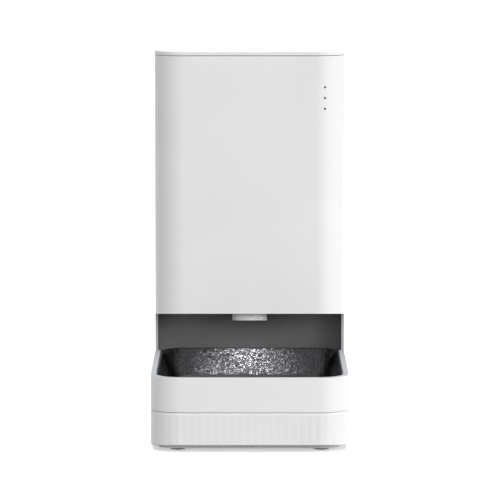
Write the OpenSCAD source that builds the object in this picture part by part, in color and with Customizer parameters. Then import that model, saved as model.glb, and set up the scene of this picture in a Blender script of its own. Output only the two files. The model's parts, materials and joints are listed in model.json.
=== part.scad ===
// Automatic pet feeder: a tower that holds dry food over a lift-out steel bowl in a tray.
// Millimetres, +Z up, front towards -Y, origin under the middle of the footprint.

/* [Casing] */
// Width of the casing
body_w = 170; // [160:1:190]
// Depth of the base and tray, front to back
body_d = 313; // [305:1:330]
// Depth of the tower
tower_d = 163; // [158:1:168]
// Plan radius of the casing's corners
corner_r = 26; // [24:1:30]
// Thickness of the casing walls
wall = 2.5; // [2:0.1:2.6]
// Height of the lid's underside edge
lid_z = 330.7; // [328:0.1:340]
// Height of the lid's side
lid_h = 4.3; // [4:0.1:6]
// Height of the seam between base and casing
seam_z = 34.6; // [34:0.1:36]
// Width of the open seams
seam_gap = 0.4; // [0.2:0.1:0.5]

/* [Tray and niche] */
// Height of the tray's rim
rim_z = 64.5; // [64:0.5:66]
// Width of the tray's rim
rim_w = 4.8; // [4:0.1:5]
// Height of the niche's ceiling
niche_z = 100.5; // [100:0.1:101]
// Back wall of the niche
niche_y = 43; // [42:0.5:44]
// Lowest edge of the food spout
spout_z = 92; // [88:1:95]

/* [Bowl] */
// Height of the bowl's rim
bowl_z = 63.8; // [63:0.1:64]
// Depth of the bowl
bowl_h = 30.8; // [26:0.2:31]
// Slope of the bowl's walls from upright
bowl_slope = 20; // [16:1:24]

/* [Dispenser] */
// Distance of the rotor's axis behind the origin
rotor_y = 55; // [54:1:56]
// Inside radius of the rotor chamber
chamber_r = 51; // [50:0.5:52]
// Number of vanes on the rotor
vanes = 6; // [5:1:8]
// Teeth of the large gears
big_teeth = 36; // [30:1:36]
// Teeth of the small gears
small_teeth = 14; // [14:1:16]
// Gear module
gear_module = 1; // [1:0.5:1]

/* [Hidden] */
$fn = 64;
eps = 0.01;

// Colours
white = [0.93, 0.93, 0.93];
pale = [0.78, 0.79, 0.80];
dark = [0.26, 0.26, 0.27];
steel = [0.62, 0.62, 0.64];
rubber = [0.12, 0.12, 0.12];
board_green = [0.10, 0.32, 0.20];

// Casing planes
front = -body_d / 2;
back = body_d / 2;
tower_front = back - tower_d;
tower_y = back - tower_d / 2;
inner_w = body_w - 2 * wall;
inner_r = corner_r - wall;
arc_y = tower_front + corner_r;
shell_z = seam_z + seam_gap / 2;
shell_top = lid_z - seam_gap;
fit = 0.2;

// Base
foot_r = 7;
foot_z = 3;
foot_seat = 0.6;
foot_round = 0.8;
plate_z = 6.2;
plate_inset = 7;
plate_r = 12;
tub_z = plate_z + fit;
tub_floor = tub_z + wall;
skirt_z = 3.7;
toe = 18;
tub_top = seam_z - seam_gap / 2;
foot_x = 61.5;
foot_y = back - 23.5;
plate_screw_x = 40;
plate_screw_y = 120;

// Screws
m3 = 1.5;
m3_head = 2.8;
m3_free = m3 + 0.1;
head_free = m3_head + 0.2;
head_h = 2;
head_recess = 8;
post_r = 5.2;
post_reach = corner_r - wall - 5;
post_x = body_w / 2 - corner_r + post_reach * sin(45);
post_y = body_d / 2 - corner_r + post_reach * sin(45);
boss_top = 40;
deck_post_z = 132;
deck_screw = 12;

// Bowl and its cradle
bowl_wall = 1;
bowl_lip = 1.9;
bowl_back = 38.5;
bowl_w = body_w - 2 * rim_w - 0.8;
bowl_front = front + rim_w + 0.4;
bowl_d = bowl_back - bowl_front;
bowl_y = (bowl_back + bowl_front) / 2;
bowl_r = corner_r - rim_w - 0.4;
bowl_foot = 9;
cradle_gap = 0.6;
cradle_wall = 1.4;
cradle_floor = bowl_z - bowl_h - 1 - cradle_wall;
lip_z = 61.6;
shelf_z = 59.8;

// Niche
liner_wall = 2;
niche_r = 18;
niche_deep = 60;
niche_drop = 3.3;
liner_w = inner_w - 2 * fit;
spout_w = 31;
spout_front = 5;
spout_back = 31;
spout_wall = 1.5;

// Gear train, stacked upwards
big_r = big_teeth * gear_module / 2;
small_r = small_teeth * gear_module / 2;
gear_c = big_r + small_r;
mid_y = rotor_y + gear_c;
motor_y = mid_y + gear_c;
cover_z = 95;
wheel_z = 97.6;
wheel_h = 4.8;
case_z = 103;
out_gear_z = 105.5;
out_gear_h = 5;
chamber_z = 113;
gear_room = 2.2;
big_turn = 90;
small_turn = 270 + 180 / small_teeth;
case_wall = 2;
pin_r = 1.5;
shaft_r = 4;
run = 0.06;
motor_r = 13.8;
motor_h = 40;
motor_shaft_r = 1.15;

// Rotor chamber and deck
chamber_wall = 2;
chamber_floor = chamber_z + 2;
chamber_top = 150;
flange_h = 2;
flange_w = 8;
deck_z = 150.2;
deck_h = 2.5;
throat_r = 48;
shield_y = 30;
vane_top = 146;
vane_t = 2.5;
vane_r = chamber_r - 0.8;
hub_r = 10;
hub_ring = 3;
hub_top = 147;
chamber_screw_c = chamber_r + 5.6;
agitator_z = hub_top;
agitator_h = 9;
finger = 34;

// Grain bucket
bucket_w = 152;
bucket_d = 144;
bucket_y = 76;
bucket_r = 20;
bucket_wall = 2;
bucket_z = 200;
bucket_top = 322;
neck_top = 158;

// Lid
liner_z = 326.5;
cup_r = 30;
cup_in = 27.8;
cup_z = 304;
lug_z = 305.3;
lug_r = 28.6;
lid_screw_x = 60;
lid_screw_dy = 56;
hook_w = 16;
hook_y = 149;
hook_t = 2;
hook_z = 303;

// Lid lock: a knob in a window of the rear wall, on a plate held by two rails
lock_z = 308;
lock_window = [-21, 5];
lock_knob = [-20.5, -1.5];
lock_plate = [-23, 1];
lock_rail = [-25, 9];
lock_bolt = [-16, -9.5];
knob_hz = 4.6;
plate_hz = 6.5;
rail_w = 2.6;
rail_h = 2.8;
rail_lip = 0.8;
bolt_hz = 2;
lock_plate_y = back - wall - 1.8;

// Rear controls and boards
control_z = 52;
control_x = 25;
board_y = 142;
board_t = 1.6;
board_w = 84;
board_h = 48;
board_low = 40;
board_post_x = 38;
board_post_dz = 21;
button_r = 6;
jack_nose_r = 4;
jack_hole_r = 3.1;
led_x = 66.8;
led_z = 293;
led_pitch = 9.6;
led_board_h = 32;
led_board_w = 8;
led_gap = 0.1;
led_size = 1.6;
led_t = 0.4;
pipe_r = 0.9;
pipe_plate_w = 6;
pipe_plate_h = 28;
pipe_plate_t = 0.9;
led_in = led_x - body_w / 2 + corner_r;
pipe_y = arc_y - sqrt(pow(corner_r, 2) - pow(led_in + pipe_r, 2)) + 0.1;
pipe_plate_y = arc_y - sqrt(pow(inner_r, 2) - pow(led_in + pipe_plate_w / 2, 2)) + 0.3;
led_y = pipe_plate_y + pipe_plate_t + led_gap;
led_board_y = led_y + led_t;
led_board_t = 1.2;
lead_y = 2.6;
lead_r = 0.9;

// Shared shapes

module rounded_rect(w, d, r) {
    square([w - 2 * r, d], center = true);
    square([w, d - 2 * r], center = true);
    for (x = [-1, 1], y = [-1, 1])
        translate([x * (w / 2 - r), y * (d / 2 - r)]) circle(r);
}

// A box with rounded plan corners, its middle at (0, y), from height z0 to z1
module plan_box(w, d, r, y, z0, z1)
    translate([0, y, z0]) linear_extrude(z1 - z0) rounded_rect(w, d, r);

// A round bar or hole along Z, Y
module zrod(r, x, y, z0, z1) translate([x, y, z0]) cylinder(h = z1 - z0, r = r);
module yrod(r, x, z, y0, y1) translate([x, y0, z]) rotate([-90, 0, 0]) cylinder(h = y1 - y0, r = r);

// A box from its lowest corner to its highest
module slab(low, high) translate(low) cube(high - low);

// Carries a (y, z) outline across the whole width
module across() translate([-body_w, 0, 0]) rotate([90, 0, 90]) linear_extrude(2 * body_w) children();

// A pan-head screw along Z with its head below the joint face
module screw_up(x, y, z, length, r = m3, head = m3_head) {
    zrod(head, x, y, z - head_h, z);
    zrod(r, x, y, z - eps, z + length);
}
module screw_down(x, y, z, length, r = m3, head = m3_head) {
    zrod(head, x, y, z, z + head_h);
    zrod(r, x, y, z - length, z + eps);
}

module at_corners(x, y, mid_y = 0)
    for (sx = [-1, 1], sy = [-1, 1]) translate([sx * x, mid_y + sy * y, 0]) children();

// A cable swept along its route: a ring of points at each bend, square to the route's direction
cable_sides = 8;
cable_ref = [0.3, 0.5, 1];
function unit(v) = v / norm(v);
function route_dir(p, i) =
    unit((i > 0 ? unit(p[i] - p[i - 1]) : [0, 0, 0]) + (i < len(p) - 1 ? unit(p[i + 1] - p[i]) : [0, 0, 0]));
function route_ring(p, i, r) =
    let (d = route_dir(p, i), u = unit(cross(cable_ref, d)), v = cross(d, u))
    [for (k = [0 : cable_sides - 1])
        p[i] + r * (cos(360 * k / cable_sides) * u + sin(360 * k / cable_sides) * v)];
module lead(p, r)
    polyhedron(points = [for (i = [0 : len(p) - 1]) each route_ring(p, i, r)],
        faces = concat(
            [[for (k = [0 : cable_sides - 1]) k]],
            [for (i = [0 : len(p) - 2], k = [0 : cable_sides - 1])
                let (a = i * cable_sides + k, b = i * cable_sides + (k + 1) % cable_sides)
                [a, a + cable_sides, b + cable_sides, b]],
            [[for (k = [cable_sides - 1 : -1 : 0]) (len(p) - 1) * cable_sides + k]]));

// Involute gear outline: flank points from the root to the tip, mirrored for each tooth
pressure = 20;
addendum = 0.8;
dedendum = 1.05;
backlash = 0.16;
flank_steps = 5;
function inv_angle(r, rb) = r <= rb ? 0 : sqrt(pow(r / rb, 2) - 1) * 180 / PI - acos(rb / r);
function polar(r, a) = [r * cos(a), r * sin(a)];
function half_tooth(r, rp, rb, teeth) =
    90 / teeth - backlash / rp * 90 / PI + inv_angle(rp, rb) - inv_angle(r, rb);
function gear_points(teeth) =
    let (rp = teeth * gear_module / 2, rb = rp * cos(pressure),
        ra = rp + addendum * gear_module, rf = rp - dedendum * gear_module, low = max(rb, rf))
    [for (t = [0 : teeth - 1])
        let (c = 360 * t / teeth)
        each concat(
            [polar(rf, c - half_tooth(low, rp, rb, teeth))],
            [for (i = [0 : flank_steps]) let (r = low + (ra - low) * i / flank_steps)
                if (r > rf) polar(r, c - half_tooth(r, rp, rb, teeth))],
            [for (i = [flank_steps : -1 : 0]) let (r = low + (ra - low) * i / flank_steps)
                if (r > rf) polar(r, c + half_tooth(r, rp, rb, teeth))],
            [polar(rf, c + half_tooth(low, rp, rb, teeth))])];
module spur_gear(teeth, h, turn) linear_extrude(h) rotate(turn) polygon(gear_points(teeth));

// Casing

// Lifts the skirt's lower edge at the front and the rear
module toe_cut() across() for (s = [-1, 1])
    polygon([[s * (back + 1), skirt_z - 1], [s * (back - toe), skirt_z - 1], [s * (back - toe), skirt_z],
        [s * back, tub_z], [s * (back + 1), tub_z]]);

module base_tub() color(white) difference() {
    union() {
        difference() {
            plan_box(body_w, body_d, corner_r, 0, skirt_z, tub_top);
            plan_box(inner_w, body_d - 2 * wall, inner_r, 0, tub_floor, tub_top + 1);
            plan_box(inner_w, body_d - 2 * wall, inner_r, 0, skirt_z - 1, tub_z);
            toe_cut();
        }
        at_corners(post_x, post_y) zrod(post_r, 0, 0, tub_floor - eps, tub_top);
        at_corners(plate_screw_x, plate_screw_y) zrod(3.5, 0, 0, tub_floor - eps, tub_floor + 4);
    }
    at_corners(post_x, post_y) {
        zrod(m3, 0, 0, tub_z - 1, tub_top + 1);
        zrod(head_free, 0, 0, tub_z - 1, tub_top - head_recess);
    }
    at_corners(plate_screw_x, plate_screw_y) zrod(m3, 0, 0, tub_z - 1, tub_floor + 3);
}

module base_plate() color(dark) difference() {
    plan_box(body_w - 2 * plate_inset, body_d - 2 * plate_inset, plate_r, 0, foot_z, plate_z);
    at_corners(foot_x, foot_y) zrod(foot_r + 0.1, 0, 0, foot_z - 1, foot_z + foot_seat);
    at_corners(plate_screw_x, plate_screw_y) {
        zrod(m3_free, 0, 0, 0, tub_z);
        zrod(head_free, 0, 0, 0, foot_z + head_h + 0.1);
    }
}

module rubber_feet() color(rubber)
    at_corners(foot_x, foot_y) {
        zrod(foot_r - foot_round, 0, 0, 0, foot_round + eps);
        zrod(foot_r, 0, 0, foot_round, foot_z + foot_seat);
    }

module base_screws() color(steel)
    at_corners(plate_screw_x, plate_screw_y) screw_up(0, 0, foot_z + head_h + 0.1, 6);

module shell_screws() color(steel)
    at_corners(post_x, post_y) screw_up(0, 0, tub_top - head_recess, 12);

// The open front between tray and tower; its upper edge falls towards the back
module niche_cut() across()
    polygon([[front - 1, rim_z], [arc_y, rim_z], [arc_y, niche_z - niche_drop], [tower_front, niche_z],
        [front - 1, niche_z]]);

module casing_wall() {
    difference() {
        union() {
            plan_box(body_w, tower_d, corner_r, tower_y, shell_z, shell_top);
            plan_box(body_w, body_d, corner_r, 0, shell_z, rim_z);
        }
        plan_box(inner_w, body_d - 2 * wall, inner_r, 0, shell_z - 1, rim_z + 1);
        plan_box(inner_w, tower_d - 2 * wall, inner_r, tower_y, shell_z - 1, shell_top + 1);
        niche_cut();
    }
    intersection() {
        difference() {
            plan_box(body_w - wall, body_d - wall, corner_r - wall / 2, 0, lip_z, rim_z);
            plan_box(body_w - 2 * rim_w, body_d - 2 * rim_w, corner_r - rim_w, 0, lip_z - 1, rim_z + 1);
        }
        slab([-body_w, front - 1, lip_z - 1], [body_w, arc_y, rim_z + 1]);
    }
}

module deck_post_places() at_corners(post_x, post_y - body_d / 2 + tower_d / 2, tower_y) children();

module outer_shell() color(white) difference() {
    union() {
        casing_wall();
        at_corners(post_x, post_y) zrod(post_r, 0, 0, shell_z, boss_top);
        deck_post_places() zrod(post_r, 0, 0, deck_post_z, deck_z);
        board_post_places() yrod(3, 0, 0, board_y + board_t, back - wall / 2);
    }
    at_corners(post_x, post_y) zrod(m3, 0, 0, shell_z - 1, boss_top - 1);
    deck_post_places() zrod(m3, 0, 0, deck_z - deck_screw, deck_z + 1);
    board_post_places() yrod(m3, 0, 0, board_y, board_y + board_t + 8);
    for (i = [-1 : 1]) yrod(pipe_r + 0.1, led_x, led_z + i * led_pitch, tower_front - 1, pipe_plate_y);
    yrod(button_r + fit, -control_x, control_z, back - wall - 1, back + 1);
    yrod(jack_nose_r + fit, control_x, control_z, back - wall - 1, back + 1);
    slab([lock_window[0], back - wall - 1, lock_z - knob_hz - 0.4],
        [lock_window[1], back + 1, lock_z + knob_hz + 0.4]);
}

// Niche, tray and bowl

module niche_liner() color(dark) {
    translate([0, 0, lip_z - 0.1]) linear_extrude(niche_z - lip_z + 0.1 + eps) intersection() {
        difference() {
            translate([0, niche_y + liner_wall - niche_deep])
                rounded_rect(liner_w, 2 * niche_deep, niche_r + liner_wall);
            translate([0, niche_y - niche_deep])
                rounded_rect(liner_w - 2 * liner_wall, 2 * niche_deep, niche_r);
        }
        translate([-body_w, arc_y + fit]) square([2 * body_w, niche_deep]);
    }
    difference() {
        intersection() {
            plan_box(liner_w, tower_d - 2 * wall - 2 * fit, inner_r - fit, tower_y,
                niche_z, niche_z + liner_wall);
            slab([-body_w, tower_front, niche_z - 1], [body_w, niche_y + liner_wall, niche_z + 3]);
        }
        slab([-spout_w / 2 - fit, spout_front - fit, niche_z - 1],
            [spout_w / 2 + fit, spout_back + fit, niche_z + 3]);
    }
}

// The bowl's form grown outwards by grow: sloped walls on a smaller flat bottom
module bowl_form(grow, z0, z1) {
    slope_in = (bowl_z - z0 - bowl_foot) * tan(bowl_slope);
    hull() {
        for (level = [[z1, bowl_lip - grow], [z0 + bowl_foot, bowl_lip - grow + slope_in],
                      [z0, bowl_lip - grow + slope_in + bowl_foot * 0.9]])
            plan_box(bowl_w - 2 * level[1], bowl_d - 2 * level[1], bowl_r - level[1] * 0.9, bowl_y,
                level[0] - 0.02, level[0], $fn = 32);
    }
}

module food_bowl() color([0.30, 0.30, 0.31]) difference() {
    union() {
        bowl_form(0, bowl_z - bowl_h, bowl_z);
        plan_box(bowl_w, bowl_d, bowl_r, bowl_y, bowl_z - bowl_wall, bowl_z);
    }
    bowl_form(-bowl_wall, bowl_z - bowl_h + bowl_wall, bowl_z + eps);
}

module bowl_cradle() color(dark) {
    cradle_z = bowl_z - bowl_wall;
    difference() {
        bowl_form(cradle_gap + cradle_wall, cradle_floor, cradle_z);
        bowl_form(cradle_gap, cradle_floor + cradle_wall, cradle_z + eps);
    }
    difference() {
        intersection() {
            plan_box(liner_w, body_d - 2 * wall - 2 * fit, inner_r - fit, 0, shelf_z, lip_z - fit);
            slab([-body_w, front, shelf_z - 1], [body_w, niche_y + liner_wall, lip_z]);
        }
        plan_box(bowl_w - 3, bowl_d - 3, bowl_r - 1.5, bowl_y, shelf_z - 1, lip_z + 1);
    }
}

module food_spout() color(pale) difference() {
    union() {
        slab([-spout_w / 2, spout_front, spout_z], [spout_w / 2, spout_back, chamber_z]);
        slab([-spout_w / 2 - 4, spout_front - 2, niche_z + 2.2],
            [spout_w / 2 + 4, spout_back, niche_z + 3.7]);
    }
    slab([-spout_w / 2 + spout_wall, spout_front + spout_wall, spout_z - 1],
        [spout_w / 2 - spout_wall, spout_back - spout_wall, chamber_z + 1]);
}

module chute_sensors() color(rubber)
    for (x = [-1, 1]) translate([x * (spout_w / 2 + 2.6), 18, 105]) {
        translate([-2.5, -5, 0]) cube([5, 10, 7]);
    }

// Dispenser

module outlet_hole(z0, z1)
    slab([-spout_w / 2 + 2, spout_front + 2, z0], [spout_w / 2 - 2, spout_back - 2, z1]);

module rotor_chamber() color(pale) difference() {
    union() {
        zrod(chamber_r + chamber_wall, 0, rotor_y, chamber_z, chamber_top);
        zrod(chamber_r + flange_w + 1, 0, rotor_y, chamber_top - flange_h, chamber_top);
    }
    zrod(chamber_r, 0, rotor_y, chamber_floor, chamber_top + 1);
    zrod(shaft_r + run, 0, rotor_y, chamber_z - 1, chamber_floor + 1);
    outlet_hole(chamber_z - 1, chamber_floor + 1);
    slab([-body_w, tower_front, chamber_top - flange_h - eps],
        [body_w, rotor_y - chamber_r - chamber_wall, chamber_top + 1]);
    chamber_screw_places() zrod(m3_free, 0, 0, chamber_top - flange_h - 1, chamber_top + 1);
}

module chamber_screw_places()
    for (a = [45 : 90 : 315])
        translate([chamber_screw_c * cos(a), rotor_y + chamber_screw_c * sin(a), 0]) children();

module chamber_screws() color(steel)
    chamber_screw_places() screw_up(0, 0, chamber_top - flange_h, 4.4, head = 2.4);

module portion_shield() color(white) intersection() {
    zrod(chamber_r - 0.1, 0, rotor_y, chamber_top - 2, chamber_top);
    slab([-body_w, 0, chamber_z], [body_w, shield_y, chamber_top + 1]);
}

module wiper_strip() color(rubber) intersection() {
    zrod(chamber_r - 0.4, 0, rotor_y, vane_top + 0.4, chamber_top);
    slab([-body_w, shield_y + 0.02, chamber_z], [body_w, shield_y + 1.6, chamber_top + 1]);
}

module deck() color(pale) difference() {
    plan_box(liner_w, tower_d - 2 * wall - 2 * fit, inner_r - fit, tower_y, deck_z, deck_z + deck_h);
    zrod(throat_r, 0, rotor_y, deck_z - 1, deck_z + deck_h + 1);
    deck_post_places() zrod(m3_free, 0, 0, deck_z - 1, deck_z + deck_h + 1);
    chamber_screw_places() zrod(m3, 0, 0, deck_z - 1, deck_z + deck_h - 0.1);
    zrod(lead_r + 1, led_x, lead_y, deck_z - 1, deck_z + deck_h + 1);
}

module deck_screws() color(steel) deck_post_places() screw_down(0, 0, deck_z + deck_h, deck_screw);

// The bucket's funnel, as a solid shrunk by inset
module funnel(inset) hull() {
    plan_box(bucket_w - 2 * inset, bucket_d - 2 * inset, bucket_r - inset, bucket_y,
        bucket_z - 0.05, bucket_z, $fn = 32);
    zrod(throat_r + bucket_wall - inset, 0, rotor_y, neck_top, neck_top + 0.05, $fn = 48);
}

module grain_bucket() color([0.86, 0.87, 0.88]) difference() {
    union() {
        zrod(throat_r + bucket_wall, 0, rotor_y, deck_z + deck_h + 0.2, neck_top + 0.02);
        funnel(0);
        plan_box(bucket_w, bucket_d, bucket_r, bucket_y, bucket_z - 0.05, bucket_top);
        plan_box(bucket_w + 8, bucket_d + 5, bucket_r + 3, bucket_y, bucket_top - 2, bucket_top);
    }
    zrod(throat_r, 0, rotor_y, deck_z, neck_top + 0.1);
    funnel(bucket_wall);
    plan_box(bucket_w - 2 * bucket_wall, bucket_d - 2 * bucket_wall, bucket_r - bucket_wall, bucket_y,
        bucket_z - 0.1, bucket_top + 1);
    slab([-hook_w / 2 - 1, bucket_y + bucket_d / 2 + fit, bucket_top - 3],
        [hook_w / 2 + 1, back, bucket_top + 1]);
}

module rotor_shaft() color(steel) {
    zrod(3, 0, rotor_y, case_z + 0.3, out_gear_z);
    zrod(shaft_r, 0, rotor_y, out_gear_z, hub_top);
}

module rotor_hub() color(pale) difference() {
    zrod(hub_r, 0, rotor_y, chamber_floor + 0.5, hub_top);
    zrod(shaft_r + eps, 0, rotor_y, chamber_z, hub_top + 1);
}

module rotor_vanes() color([0.75, 0.78, 0.80]) translate([0, rotor_y, chamber_floor + 0.6])
    linear_extrude(vane_top - chamber_floor - 0.6) difference() {
        union() {
            circle(hub_r + hub_ring);
            for (i = [0 : vanes - 1]) rotate(360 * i / vanes + 180 / vanes - 90)
                translate([0, -vane_t / 2]) square([vane_r, vane_t]);
        }
        circle(hub_r + 0.04);
    }

module agitator() color(pale) translate([0, rotor_y, agitator_z]) {
    cylinder(h = agitator_h, r = 12);
    translate([0, 0, agitator_h - eps]) cylinder(h = 10, r1 = 12, r2 = 3);
    for (a = [0 : 120 : 240]) rotate(a) translate([0, -2.5, agitator_h - 2]) cube([finger, 5, 4]);
}

module output_gear() color(white) translate([0, rotor_y, out_gear_z]) difference() {
    spur_gear(big_teeth, out_gear_h, big_turn);
    translate([0, 0, -1]) cylinder(h = out_gear_h + 2, r = shaft_r + 0.03);
}

module compound_gear() color(white) translate([0, mid_y, wheel_z]) difference() {
    union() {
        spur_gear(big_teeth, wheel_h, big_turn);
        translate([0, 0, wheel_h - eps])
            spur_gear(small_teeth, chamber_z - wheel_z - wheel_h - 1, small_turn);
    }
    translate([0, 0, -1]) cylinder(h = 20, r = pin_r + run);
}

module gear_pin() color(steel) zrod(pin_r, 0, mid_y, cover_z, chamber_z - 0.4);

module motor_pinion() color([0.80, 0.68, 0.38]) translate([0, motor_y, wheel_z]) difference() {
    spur_gear(small_teeth, wheel_h, small_turn);
    translate([0, 0, -1]) cylinder(h = wheel_h + 2, r = motor_shaft_r);
}

module motor() color(steel) {
    zrod(motor_r, 0, motor_y, cover_z - motor_h, cover_z);
    zrod(4, 0, motor_y, cover_z - motor_h - 2, cover_z - motor_h + eps);
}

// Plan of the gear cavities: big and small circles joined by a neck, grown by grow
module gear_plan(y_big, y_small, grow) {
    translate([0, y_big]) circle(big_r + grow);
    translate([0, y_small]) circle(small_r + grow);
    translate([-small_r - grow, y_big]) square([2 * (small_r + grow), y_small - y_big]);
}

module gearbox_screw_places() {
    for (x = [-1, 1]) translate([x * 14.3, mid_y + 22.5, 0]) children();
    for (x = [-1, 1]) translate([x * 20.5, mid_y - 14.5, 0]) children();
}

module gearbox_case() color(pale) difference() {
    union() {
        translate([0, 0, case_z]) linear_extrude(chamber_z - case_z - fit) {
            gear_plan(rotor_y, mid_y, gear_room + case_wall);
            gear_plan(mid_y, motor_y, gear_room + case_wall);
        }
        gearbox_screw_places() zrod(4, 0, 0, case_z, chamber_z - fit);
    }
    translate([0, 0, case_z + 2]) linear_extrude(chamber_z) gear_plan(rotor_y, mid_y, gear_room);
    zrod(small_r + gear_room, 0, mid_y, case_z - 1, case_z + 3);
    zrod(3 + run, 0, rotor_y, case_z - 1, case_z + 3);
    gearbox_screw_places() zrod(m3, 0, 0, case_z - 1, chamber_z);
}

module gearbox_cover() color(pale) difference() {
    union() {
        translate([0, 0, cover_z]) linear_extrude(case_z - cover_z - fit)
            gear_plan(mid_y, motor_y, gear_room + case_wall);
        gearbox_screw_places() zrod(4, 0, 0, case_z - 4, case_z - fit);
        zrod(motor_r + 2.2, 0, motor_y, cover_z - 9, cover_z + eps);
    }
    translate([0, 0, cover_z + 2]) linear_extrude(case_z) gear_plan(mid_y, motor_y, gear_room);
    zrod(motor_r + 0.05, 0, motor_y, cover_z - 10, cover_z);
    zrod(motor_shaft_r + 0.4, 0, motor_y, cover_z - 1, cover_z + 3);
    zrod(pin_r, 0, mid_y, cover_z - 1, cover_z + 3);
    gearbox_screw_places() zrod(m3, 0, 0, cover_z, case_z);
}

module gearbox_screws() color(steel)
    gearbox_screw_places() screw_up(0, 0, case_z - 4, 12);

// Boards and controls

module board_post_places()
    for (x = [-1, 1], z = [-1, 1])
        translate([x * board_post_x, 0, board_low + board_h / 2 + z * board_post_dz]) children();

module main_board() color(board_green) difference() {
    slab([-board_w / 2, board_y, board_low], [board_w / 2, board_y + board_t, board_low + board_h]);
    board_post_places() yrod(m3, 0, 0, board_y - 1, board_y + board_t + 1);
}

module board_parts() color(rubber) {
    slab([-12, board_y - 3, 66], [10, board_y, 84]);
    slab([-30, board_y - 8, 46], [-20, board_y, 56]);
    slab([-6, board_y - 6, 44], [6, board_y, 50]);
    slab([24, board_y - 6, 76], [34, board_y, 82]);
    for (x = [14, 24]) yrod(4, x, 60, board_y - 12, board_y);
}

module board_screws() color(steel)
    board_post_places() {
        yrod(m3_head, 0, 0, board_y - 2, board_y);
        yrod(m3, 0, 0, board_y - eps, board_y + board_t + 7);
    }

module power_jack() color(rubber) difference() {
    union() {
        slab([control_x - 4.5, board_y + board_t, control_z - 5.5],
            [control_x + 4.5, back - wall - fit, control_z + 5.5]);
        yrod(jack_nose_r, control_x, control_z, back - wall - 1, back - 0.3);
    }
    difference() {
        yrod(jack_hole_r, control_x, control_z, back - 10, back);
        yrod(1, control_x, control_z, back - 11, back - 1);
    }
}

module feed_button() color(pale) {
    yrod(button_r, -control_x, control_z, back - wall - 3, back - 0.3);
    yrod(button_r + 1.6, -control_x, control_z, back - wall - 2.5, back - wall - 0.4);
}

module feed_switch() color(rubber) {
    slab([-control_x - 3, board_y + board_t, control_z - 3], [-control_x + 3, board_y + 5.6, control_z + 3]);
    yrod(1.7, -control_x, control_z, board_y + 5.5, back - wall - 4.5);
}

module led_board() color(board_green)
    slab([led_x - led_board_w / 2, led_board_y, led_z - led_board_h / 2],
        [led_x + led_board_w / 2, led_board_y + led_board_t, led_z + led_board_h / 2]);

module leds() color([0.95, 0.95, 0.85])
    for (i = [-1 : 1]) translate([led_x - led_size / 2, led_y, led_z + i * led_pitch - led_size / 2])
        cube([led_size, led_t, led_size]);

module light_pipes() color([0.85, 0.87, 0.90]) {
    for (i = [-1 : 1]) yrod(pipe_r, led_x, led_z + i * led_pitch, pipe_y, pipe_plate_y + eps);
    slab([led_x - pipe_plate_w / 2, pipe_plate_y, led_z - pipe_plate_h / 2],
        [led_x + pipe_plate_w / 2, pipe_plate_y + pipe_plate_t, led_z + pipe_plate_h / 2]);
}

module motor_lead() color([0.75, 0.12, 0.10])
    for (x = [-2, 2])
        lead([[x, motor_y, cover_z - motor_h - 2], [x, motor_y, 47], [x, board_y - 6, 47]], 0.7);

module sensor_lead() color(rubber)
    lead([[led_x, led_board_y + led_board_t, led_z - 12],
        [led_x, led_board_y + led_board_t + 1.6, led_z - 12.2], [led_x, lead_y, 112],
        [76, 12, 108], [76, 134, 108], [60, 138, 79], [34.1, board_y - 3, 79]], lead_r);

// Lid

module lid_screw_places() at_corners(lid_screw_x, lid_screw_dy, bucket_y) children();

module lid_top() color(white) difference() {
    plan_box(body_w, tower_d, corner_r, tower_y, lid_z, lid_z + lid_h);
    difference() {
        plan_box(inner_w, tower_d - 2 * wall, inner_r, tower_y, lid_z - 1, lid_z + lid_h - 2);
        lid_screw_places() zrod(4, 0, 0, lid_z, lid_z + lid_h);
    }
    lid_screw_places() zrod(m3, 0, 0, lid_z - 1, lid_z + 2.6);
}

module lid_liner() color(white) difference() {
    union() {
        plan_box(inner_w - 1.2, tower_d - 2 * wall - 1.2, inner_r - 0.6, tower_y, liner_z, lid_z);
        slab([-hook_w / 2, hook_y, hook_z], [hook_w / 2, hook_y + hook_t, liner_z + 1]);
    }
    slab([-hook_w / 2 - 1, hook_y - 1, lock_z - bolt_hz - 0.5],
        [-1.5, hook_y + hook_t + 1, lock_z + bolt_hz + 0.5]);
    lid_screw_places() zrod(m3_free, 0, 0, liner_z - 1, lid_z + 1);
}

module lid_seal() color(pale) difference() {
    plan_box(bucket_w - 2, bucket_d - 2, bucket_r - 1, bucket_y, bucket_top + 0.3, liner_z);
    plan_box(bucket_w - 10, bucket_d - 10, bucket_r - 5, bucket_y, bucket_top - 1, liner_z + 1);
}

module lid_screws() color(steel) lid_screw_places() screw_up(0, 0, liner_z, 6.5);

module desiccant_cup() color(white) difference() {
    zrod(cup_r, 0, bucket_y, cup_z, liner_z);
    zrod(cup_in, 0, bucket_y, cup_z - 1, liner_z + 1);
    zrod(lug_r + 0.4, 0, bucket_y, lug_z - 0.3, lug_z + 1.9);
    for (a = [0 : 120 : 240]) translate([0, bucket_y, cup_z - 1]) rotate(a + 60)
        translate([0, -4, 0]) cube([lug_r + 0.4, 8, lug_z - cup_z + 2]);
}

module desiccant_pack() color([0.90, 0.90, 0.86]) zrod(25, 0, bucket_y, 310, 323);

module desiccant_cap() color(white) difference() {
    union() {
        zrod(cup_r, 0, bucket_y, cup_z - 3.2, cup_z - 0.3);
        zrod(cup_in - 0.4, 0, bucket_y, cup_z - 0.31, lug_z + 3);
        for (a = [0 : 120 : 240]) translate([0, bucket_y, lug_z]) rotate(a) intersection() {
            cylinder(h = 1.6, r = lug_r);
            translate([10, -3.5, 0]) cube([30, 7, 1.6]);
        }
        slab([-2, bucket_y - 14, cup_z - 8], [2, bucket_y + 14, cup_z - 3.19]);
    }
    zrod(cup_in - 2, 0, bucket_y, cup_z - 1, lug_z + 4);
    for (a = [0 : 30 : 330], r = [12, 20]) if (r * abs(sin(a + 90)) > 5)
        zrod(1.5, r * cos(a), bucket_y + r * sin(a), cup_z - 9, cup_z);
}

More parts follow.
